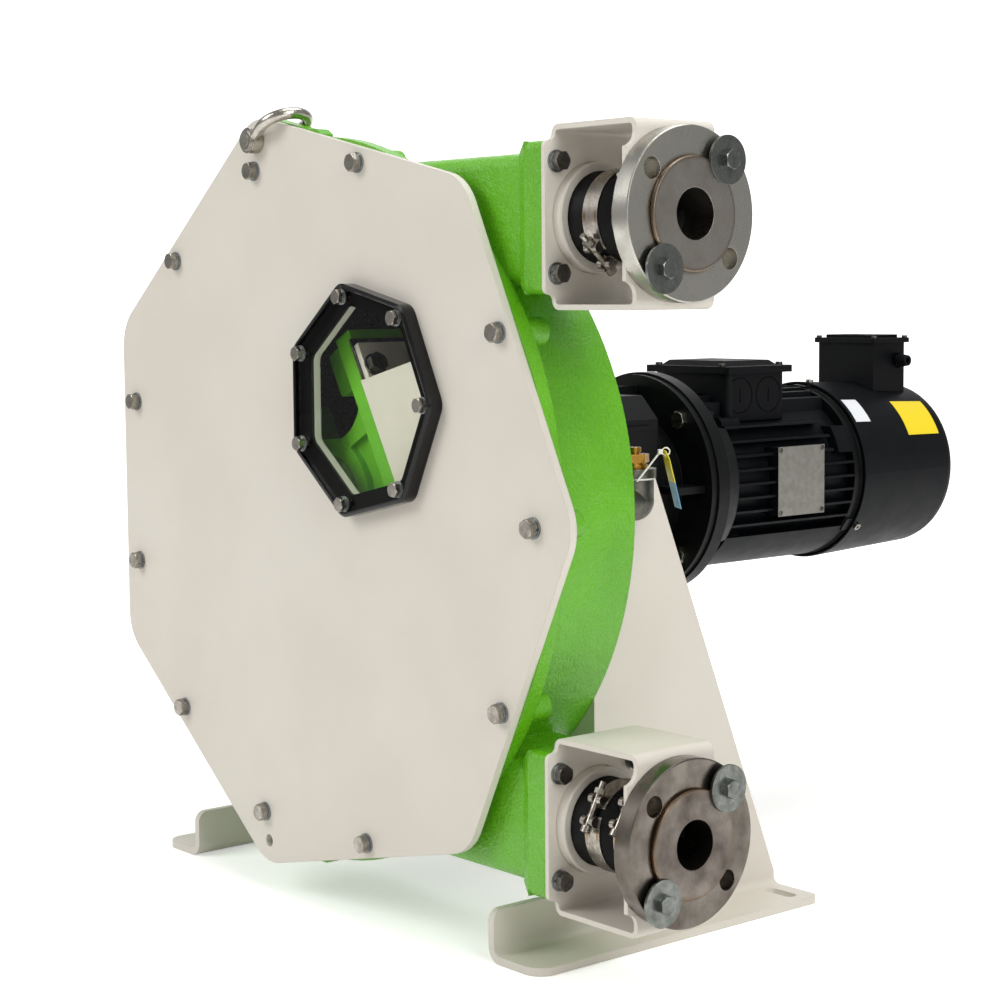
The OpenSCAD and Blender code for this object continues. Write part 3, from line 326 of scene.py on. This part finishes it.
def turned_metal(name, body, shade, centre_z_mm):
    """Stainless steel turned on a lathe: fine rings around the port, cloudy from handling.

    A tool's feed marks are finer than a pixel, so the rings are drawn wider than that.
    """
    feed_mm = 1.4
    feed_depth_mm = 0.008
    edge_mm = 0.9
    cloud_mm = 30
    heat_mm = 3.5
    mat, tree, shader = finish_material(name)
    at = add(tree, "TexCoord").outputs["Object"]
    flat = from_point(tree, at, (0, PORT_Y, centre_z_mm), (0, 1, 1))
    radius = add(tree, "VectorMath", {"operation": "LENGTH"}, {0: flat}).outputs["Value"]
    rings = add(
        tree, "TexNoise", {"noise_dimensions": "1D", **pattern(feed_mm)}, {"W": radius}
    )
    cloud = add(tree, "TexNoise", pattern(cloud_mm, 4.0, 0.55), {"Vector": at})
    tone = add(tree, "MapRange", span(0.32, 0.7, 0, 1), {"Value": cloud.outputs["Fac"]})
    colour = add(tree, "Mix", two_colours(body, shade), {0: tone.outputs[0]}).outputs[2]
    near = distance_to(tree, radius, INSERT_COLLAR_R)
    tint = add(tree, "MapRange", span(0, heat_mm * MM, 0.75, 0), {"Value": near}).outputs[0]
    rough = span(0.3, 0.7, 0.2, 0.42)
    dress(
        tree,
        shader,
        add(tree, "Mix", over_colour("#6E5A45"), {0: tint, 6: colour}).outputs[2],
        add(tree, "MapRange", rough, {"Value": cloud.outputs["Fac"]}).outputs[0],
        relief(tree, rings.outputs["Fac"], feed_depth_mm, edge_mm),
    )
    shader.inputs["Metallic"].default_value = 1.0
    return mat


def clear_plastic(name):
    """Clear moulded sheet: almost colourless, polished, and open to the lamps' light.

    Its IOR is under that of such a sheet, 1.49, so that the room hardly shows in it.
    """
    haze_mm = 60
    mat, tree, shader = finish_material(name)
    at = add(tree, "TexCoord").outputs["Object"]
    shader.inputs["Base Color"].default_value = linear("#F4F7F4")
    shader.inputs["Transmission Weight"].default_value = 1.0
    shader.inputs["IOR"].default_value = 1.18
    haze = add(tree, "TexNoise", pattern(haze_mm, 4.0), {"Vector": at})
    rough = add(tree, "MapRange", span(0.4, 0.8, 0, 0.03), {"Value": haze.outputs["Fac"]})
    tree.links.new(rough.outputs[0], shader.inputs["Roughness"])
    path = add(tree, "LightPath")
    clear = add(tree, "BsdfTransparent", {"Color": linear("#F0F3F0")})
    both = add(
        tree,
        "MixShader",
        links={0: path.outputs["Is Shadow Ray"], 1: shader.outputs[0], 2: clear.outputs[0]},
    )
    out = next(n for n in tree.nodes if n.type == "OUTPUT_MATERIAL")
    tree.links.new(both.outputs[0], out.inputs["Surface"])
    return mat


def label_film(name, first, second, split_axis, split_mm, tie=None):
    """Label film with nothing on it: two plain colours that meet at a line.

    What stands off the plane given by tie, the tag's own tie, is white.
    """
    gloss_mm = 12
    half_film_mm = 0.6
    mat, tree, shader = finish_material(name)
    at = add(tree, "TexCoord").outputs["Object"]
    parts = add(tree, "SeparateXYZ", links={0: at})
    beyond = {"operation": "GREATER_THAN", 1: split_mm * MM}
    side = add(tree, "Math", beyond, {0: parts.outputs[split_axis]})
    colour = add(tree, "Mix", two_colours(first, second), {0: side.outputs[0]}).outputs[2]
    if tie:
        way, reach = tie
        depth = add(tree, "VectorMath", {"operation": "DOT_PRODUCT", 1: way}, {0: at})
        far = distance_to(tree, depth.outputs["Value"], reach)
        off_film = span((half_film_mm - 0.05) * MM, (half_film_mm + 0.05) * MM, 0, 1)
        outside = add(tree, "MapRange", off_film, {"Value": far}).outputs[0]
        colour = add(tree, "Mix", over_colour("#E6E4DE"), {0: outside, 6: colour}).outputs[2]
    sheen = add(tree, "TexNoise", pattern(gloss_mm, 3.0), {"Vector": at})
    rough = span(0.3, 0.7, 0.3, 0.45)
    dress(
        tree,
        shader,
        colour,
        add(tree, "MapRange", rough, {"Value": sheen.outputs["Fac"]}).outputs[0],
    )
    return mat


# The tag hangs from its tie, in a plane that leans back from the neck of the elbow
TIE_AT = (320, -124.5, 478)
TAG_WAY = (0.5, 0.866, math.tan(math.radians(13.5)))
TAG_REACH = sum(w * c for w, c in zip(TAG_WAY, (TIE_AT[0], TIE_AT[1], TIE_AT[2] - 3.7)))

# Enamel: the sprayed skin is glossy, and the sand's grain breaks up its highlights
green_casting = enamel_on_casting(
    "enamel_green_casting", "#64B216", "#5BA512",
    grain_mm=3.2, depth_mm=1.2, edge_mm=2.0, gloss=0.22, chamber=True,
)
green_rotor = enamel_on_casting(
    "enamel_green_rotor", "#67B41F", "#5CA51A",
    grain_mm=6.0, depth_mm=0.25, edge_mm=1.5, gloss=0.3,
)
# Machine paint on iron: black, with soft broad highlights over a pebbled surface
black_casting = satin_black(
    "paint_black_casting", "#040506", "#08090A", 0.34, 0.5,
    grain_mm=3.0, depth_mm=0.12, edge_mm=1.2, shine=0.2,
)
# Powder coat: an even satin cream, hardly shaded
cream_sheet = powder_coat("powder_cream_sheet", "#D6D1C6", "#D2CBC0")
shoe_cream = powder_coat("powder_cream_shoe", "#D2CBBD", "#C6BEAE")
# Moulded rim: polished black with crisp highlights along its edges
window_rim_black = satin_black(
    "moulded_window_rim", "#070708", "#0D0C0C", 0.08, 0.16,
    grain_mm=8.0, depth_mm=0.02, edge_mm=3.0, shine=0.4,
)
# Rubber: dull black; the hose's cover is the rougher of the two
seal_rubber = satin_black(
    "rubber_seal", "#080808", "#100F0E", 0.4, 0.55,
    grain_mm=3.0, depth_mm=0.05, edge_mm=0.6, shine=0.3,
)
hose_rubber = satin_black(
    "rubber_hose_cover", "#070606", "#12100E", 0.5, 0.72,
    grain_mm=2.2, depth_mm=0.2, edge_mm=0.8, shine=0.15,
)
# Paint on aluminium and moulded boxes: satin black with a blue cast
motor_black = satin_black(
    "paint_black_motor", "#06080B", "#0B0E12", 0.42, 0.54,
    grain_mm=1.6, depth_mm=0.05, edge_mm=0.8, shine=0.13,
)
box_plastic = satin_black(
    "moulded_black_box", "#040508", "#08090C", 0.44, 0.58,
    grain_mm=0.9, depth_mm=0.03, edge_mm=0.8, shine=0.12,
)
# Bolts and washers: grey steel, a little cloudy, with small bright edges
bolt_steel = bare_metal("steel_bolts", "#ABA69E", "#79746C", 0.2, 0.36)
washer_zinc = bare_metal("zinc_washers", "#989B9A", "#7A7D7D", 0.3, 0.46)
port_zinc = bare_metal("zinc_port_bolts", "#7F827E", "#5C5F5C", 0.24, 0.4)
dark_steel = bare_metal("steel_dark", "#6B6863", "#45423F", 0.3, 0.45)
# Drawn stainless bar: nearly a mirror
pin_steel = bare_metal("steel_stainless_bright", "#C2BDB4", "#A19C93", 0.14, 0.26)
# Rolled stainless strip, with the weld's tan spots
clamp_steel = welded_band("steel_clamp_band", "#B0AAA1", "#7F7972")
# Turned brass: a warm yellow plug with sharp highlights
brass = bare_metal("brass_turned", "#BC9142", "#8E692A", 0.14, 0.28)
# Hot-dip zinc on malleable iron: dull grey and lumpy
galvanised = bare_metal(
    "iron_galvanised", "#6C6B63", "#4B4A44", 0.34, 0.5, mark_mm=2.5, depth_mm=0.15
)
# Brushed aluminium: a flat grey plate
plate_metal = bare_metal("aluminium_plate", "#9A9891", "#87847D", 0.35, 0.5)
# Turned stainless: streaks of light that run round the port; the lower flange and insert take
# darker copies of the colours, painted shade
flange_steel = {
    1: turned_metal(
        "steel_turned_upper_flange", "#BCBAB2", "#9B9890", SHAFT_Z + PORT_RISE
    ),
    # Darker colours for the lower flange: painted shade
    -1: turned_metal(
        "steel_turned_lower_flange_painted_shade", "#7A746D", "#554E47", SHAFT_Z - PORT_RISE
    ),
}
insert_steel = {
    1: turned_metal(
        "steel_turned_upper_insert", "#B2ADA5", "#7F7971", SHAFT_Z + PORT_RISE
    ),
    # Darker colours for the lower insert: painted shade
    -1: turned_metal(
        "steel_turned_lower_insert_painted_shade", "#7D766F", "#4D4640", SHAFT_Z - PORT_RISE
    ),
}
pane_clear = clear_plastic("acrylic_pane")
# Label film: plain flat colours under a soft gloss
cowl_labels = label_film("film_cowl_labels", "#E4E6EA", "#EFD41C", 1, LABELS_MEET_Y)
tag_film = label_film(
    "film_hang_tag", "#5B9CCB", "#E8CF2E", 2, TAG_COLOURS_MEET_Z, (TAG_WAY, TAG_REACH)
)

# Which nodes of the CAD wear each finish
FINISH = {
    green_casting: ["casing"],
    green_rotor: ["rotor_hub"],
    black_casting: ["gear_housing", "motor_front_shield", "motor_rear_shield"],
    motor_black: ["motor_frame", "fan_cowl", "fan_motor"],
    cream_sheet: [
        "cover_plate", "port_bracket_top", "port_bracket_bottom", "hose_collar_top",
        "hose_collar_bottom", "support_right", "support_left",
    ],
    shoe_cream: ["press_shoe_a", "press_shoe_b"],
    window_rim_black: ["window_rim"],
    seal_rubber: ["window_gasket", "cover_seal"],
    hose_rubber: ["hose"],
    box_plastic: [
        "terminal_box", "terminal_lid", "fan_box", "fan_box_lid", "cable_gland",
        "cooling_fan",
    ],
    bolt_steel: [
        "cover_bolts", "support_bolts", "gear_bolts", "cowl_screws",
        "motor_flange_bolts", "window_bolts",
    ],
    washer_zinc: ["flat_washers", "spring_washers"],
    port_zinc: ["flange_bolts", "flange_nuts", "flange_washers"],
    pin_steel: ["shackle_bow", "shackle_pin", "rotor_retainer", "output_shaft", "motor_rotor"],
    clamp_steel: ["hose_clamps_top", "hose_clamps_bottom", "clamp_bolts"],
    dark_steel: ["bracket_bolts", "shoe_bolts", "lid_screws", "shoe_shims"],
    brass: ["fill_plug"],
    galvanised: ["fill_elbow"],
    plate_metal: ["nameplate"],
    flange_steel[1]: ["port_flange_top"],
    flange_steel[-1]: ["port_flange_bottom"],
    insert_steel[1]: ["insert_top"],
    insert_steel[-1]: ["insert_bottom"],
    pane_clear: ["window_pane"],
    cowl_labels: ["blank_labels"],
    tag_film: ["hang_tag"],
}
for finish, names in FINISH.items():
    for name in names:
        for slot in nodes[name].material_slots:
            slot.material = finish


# Pieces that the scene adds to those of the CAD


def mesh_piece(name, verts, faces, finish, body, smooth=True):
    """A piece that rides on a body, from points in millimetres."""
    mesh = bpy.data.meshes.new(name)
    mesh.from_pydata([[c * MM for c in v] for v in verts], [], faces)
    mesh.validate()
    mesh.materials.append(finish)
    for face in mesh.polygons:
        face.use_smooth = smooth
    piece = bpy.data.objects.new(name, mesh)
    bpy.context.scene.collection.objects.link(piece)
    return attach(piece, body)


def ring_faces(rings, count):
    """Quads between neighbouring rings of points."""
    faces = []
    for j in range(rings - 1):
        for i in range(count):
            k = (i + 1) % count
            a, b = j * count, (j + 1) * count
            faces.append((a + i, a + k, b + k, b + i))
    return faces


def hose_sleeve():
    """The hose: round at the ports, flat where the lower shoe presses it on the track."""
    count = 72
    step_deg = 2
    least_bore = 0.8
    track = PORT_RISE + HOSE_OD / 2

    def thickness(angle):
        off = abs(angle - SQUEEZE_DEG)
        if off >= SQUEEZE_HALF_DEG:
            return HOSE_OD
        press = math.cos(math.radians(90 * off / SQUEEZE_HALF_DEG)) ** 2
        return HOSE_OD - press * (SHOE_NOSE_R + SHOE_GAP - track + HOSE_OD)

    def ring(x, angle, thick, flat):
        mid = track - thick / 2
        c, s = math.cos(math.radians(angle)), math.sin(math.radians(angle))
        points = []
        for i in range(count):
            f = 2 * math.pi * (i + 0.5) / count
            across = thick / 2 * math.cos(f) + math.copysign(flat, math.cos(f))
            r = mid + thick / 2 * math.sin(f)
            points.append((x + r * c, PORT_Y + across, SHAFT_Z + r * s))
        return points

    stops = [(HOSE_LEG_X, 90), (HOSE_STRAIGHT_X, 90)]
    stops += [(0, angle) for angle in range(90, 271, step_deg)]
    stops += [(HOSE_STRAIGHT_X, 270), (HOSE_LEG_X, 270)]
    skins = []
    for wall in (0, HOSE_OD - HOSE_ID):
        rings = []
        for x, angle in stops:
            t = thickness(angle)
            flat = math.pi * (HOSE_OD - t) / 4
            rings += ring(x, angle, max(least_bore, t - wall), flat)
        skins.append(rings)
    n = len(skins[0])
    faces = ring_faces(len(stops), count)
    faces += [tuple(n + v for v in reversed(face)) for face in ring_faces(len(stops), count)]
    last = (len(stops) - 1) * count
    for i in range(count):
        k = (i + 1) % count
        faces.append((k, i, n + i, n + k))
        faces.append((last + i, last + k, n + last + k, n + last + i))
    sleeve = mesh_piece("hose_sleeve", skins[0] + skins[1], faces, hose_rubber, "pump")
    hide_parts("hose")


# Half profile of a rivet: radius, and height over the rating plate's front face
RIVET_PROFILE = [(1.4, -0.9), (1.4, 0.02), (3.0, 0.02), (2.9, 0.45), (2.2, 0.95), (1.0, 1.2)]
RIVET_CENTRES = [(y, z) for y in (268, 338) for z in (375, 447)]
PLATE_FRONT_X = 105.5


def plate_rivets():
    """The four drive rivets of the rating plate: low domes of dark steel."""
    count = 20
    verts, faces = [], []
    for y, z in RIVET_CENTRES:
        start = len(verts)
        for radius, height in RIVET_PROFILE:
            for i in range(count):
                turn = 2 * math.pi * i / count
                verts.append((
                    PLATE_FRONT_X + height,
                    y + radius * math.cos(turn),
                    z + radius * math.sin(turn),
                ))
        top = start + (len(RIVET_PROFILE) - 1) * count
        sides = ring_faces(len(RIVET_PROFILE), count)
        faces += [tuple(start + v for v in face) for face in sides]
        faces.append(tuple(start + i for i in reversed(range(count))))
        faces.append(tuple(top + i for i in range(count)))
    rivets = mesh_piece("plate_rivets", verts, faces, dark_steel, "pump", smooth=False)


hose_sleeve()
plate_rivets()


# Camera, at the photograph's place

CAMERA_AT = Vector((1808.8, -1573.7, 632.5)) * MM
CAMERA_AZIMUTH = math.radians(50.03)
CAMERA_PITCH = math.radians(5.23)
CAMERA_ROLL = math.radians(0.43)
FOCAL_PX = 2179.2
FRAME_PX = 1000
SENSOR_MM = 36
CENTRE_PX = (504.3, 489.5)


def photo_camera():
    """The camera as solved from the photograph, with its centre shifted as there."""
    data = bpy.data.cameras.new("photo_camera")
    cam = bpy.data.objects.new("photo_camera", data)
    bpy.context.scene.collection.objects.link(cam)
    sin_a, cos_a = math.sin(CAMERA_AZIMUTH), math.cos(CAMERA_AZIMUTH)
    sin_p, cos_p = math.sin(CAMERA_PITCH), math.cos(CAMERA_PITCH)
    ahead = Vector((-sin_a * cos_p, cos_a * cos_p, -sin_p))
    level = Vector((cos_a, sin_a, 0))
    down = ahead.cross(level)
    cos_r, sin_r = math.cos(CAMERA_ROLL), math.sin(CAMERA_ROLL)
    right = cos_r * level + sin_r * down
    up = sin_r * level - cos_r * down
    turn = Matrix((right, up, -ahead)).transposed()
    cam.matrix_world = Matrix.Translation(CAMERA_AT) @ turn.to_4x4()
    data.sensor_width = SENSOR_MM
    data.lens = FOCAL_PX / FRAME_PX * SENSOR_MM
    data.shift_x = (FRAME_PX / 2 - CENTRE_PX[0]) / FRAME_PX
    data.shift_y = (CENTRE_PX[1] - FRAME_PX / 2) / FRAME_PX
    data.clip_end = 100
    bpy.context.scene.camera = cam


# Studio


def studio_floor():
    """A pale sheet that curves up behind the pump."""
    bm = bmesh.new()
    half = 9.0
    bend_r = 2.5
    back = 5.0
    top = 7.0
    below_feet = 0.0002
    profile = [(-half, 0.0), (back, 0.0)]
    profile += [
        (back + bend_r * math.sin(math.radians(a)), bend_r * (1 - math.cos(math.radians(a))))
        for a in range(10, 91, 10)
    ]
    profile.append((back + bend_r, top))
    rows = []
    for x in (-half, half):
        rows.append([bm.verts.new((x, y, z - below_feet)) for y, z in profile])
    for i in range(len(profile) - 1):
        bm.faces.new((rows[0][i], rows[1][i], rows[1][i + 1], rows[0][i + 1]))
    mesh = bpy.data.meshes.new("studio_floor")
    bm.to_mesh(mesh)
    bm.free()
    for face in mesh.polygons:
        face.use_smooth = True
    floor = bpy.data.objects.new("studio_floor", mesh)
    bpy.context.scene.collection.objects.link(floor)
    floor.rotation_euler.z = CAMERA_AZIMUTH
    mat, tree, shader = finish_material("studio_paper")
    shader.inputs["Roughness"].default_value = 0.9
    shader.inputs["Specular IOR Level"].default_value = 0.1
    shader.inputs["Base Color"].default_value = linear("#F4F3F1")
    path = add(tree, "LightPath")
    seen = path.outputs["Is Camera Ray"]
    for ray in ("Is Glossy Ray", "Is Transmission Ray"):
        either = {0: seen, 1: path.outputs[ray]}
        seen = add(tree, "Math", {"operation": "MAXIMUM"}, either).outputs[0]
    at = add(tree, "NewGeometry").outputs["Position"]
    sin_a, cos_a = math.sin(CAMERA_AZIMUTH), math.cos(CAMERA_AZIMUTH)
    away = add(tree, "VectorMath", {"operation": "LENGTH"}, {0: at}).outputs["Value"]
    ahead = {"operation": "DOT_PRODUCT", 1: (-sin_a, cos_a, 0)}
    behind = add(tree, "VectorMath", ahead, {0: at}).outputs["Value"]
    across = {"operation": "DOT_PRODUCT", 1: (cos_a, sin_a, 0)}
    beside = add(tree, "VectorMath", across, {0: at}).outputs["Value"]
    wide = add(tree, "Math", {"operation": "ABSOLUTE"}, {0: beside}).outputs[0]
    lane = add(tree, "MapRange", span(0, 8, 0, 2.4), {"Value": behind}).outputs[0]
    off = add(tree, "Math", {"operation": "SUBTRACT"}, {0: wide, 1: lane}).outputs[0]
    # The lit floor needs less glow near the pump, and metals see little of it further off
    glow = seen
    for value, fade in (
        (away, span(0.9, 3.2, 0.42, 1.0)),
        (off, span(1.0, 4.0, 1.0, 0.02)),
        (behind, span(-6.0, -1.5, 0.02, 1.0)),
    ):
        part = add(tree, "MapRange", fade, {"Value": value}).outputs[0]
        glow = both_of(tree, glow, part)
    tree.links.new(glow, shader.inputs["Emission Strength"])
    shader.inputs["Emission Color"].default_value = linear("#FFFFFF")
    mesh.materials.append(mat)


def softbox(name, at, aim, size, power):
    """A white rectangular lamp, in metres and watts."""
    data = bpy.data.lights.new(name, "AREA")
    data.shape = "RECTANGLE"
    data.size, data.size_y = size
    data.energy = power
    lamp = bpy.data.objects.new(name, data)
    lamp.location = at
    lamp.rotation_euler = (Vector(aim) - Vector(at)).to_track_quat("-Z", "Y").to_euler()
    bpy.context.scene.collection.objects.link(lamp)


def studio_world():
    """A plain pale room, for the light that comes from all round."""
    world = bpy.data.worlds.new("studio_world")
    bpy.context.scene.world = world
    world.use_nodes = True
    tree = world.node_tree
    tree.nodes.clear()
    room = add(tree, "Background", {"Color": linear("#FFFFFF"), "Strength": 0.36})
    add(tree, "OutputWorld", links={"Surface": room.outputs[0]})


photo_camera()
studio_floor()
studio_world()
softbox("key_box", (-1.6, -3.6, 3.0), (0, 0, 0.4), (2.4, 2.4), 92)
softbox("side_box", (3.8, -0.6, 2.2), (0, 0, 0.4), (2.0, 2.6), 84)
softbox("top_box", (0.4, 0.4, 3.6), (0.1, 0.1, 0.4), (2.6, 2.6), 62)
bpy.context.scene.view_settings.view_transform = "Standard"
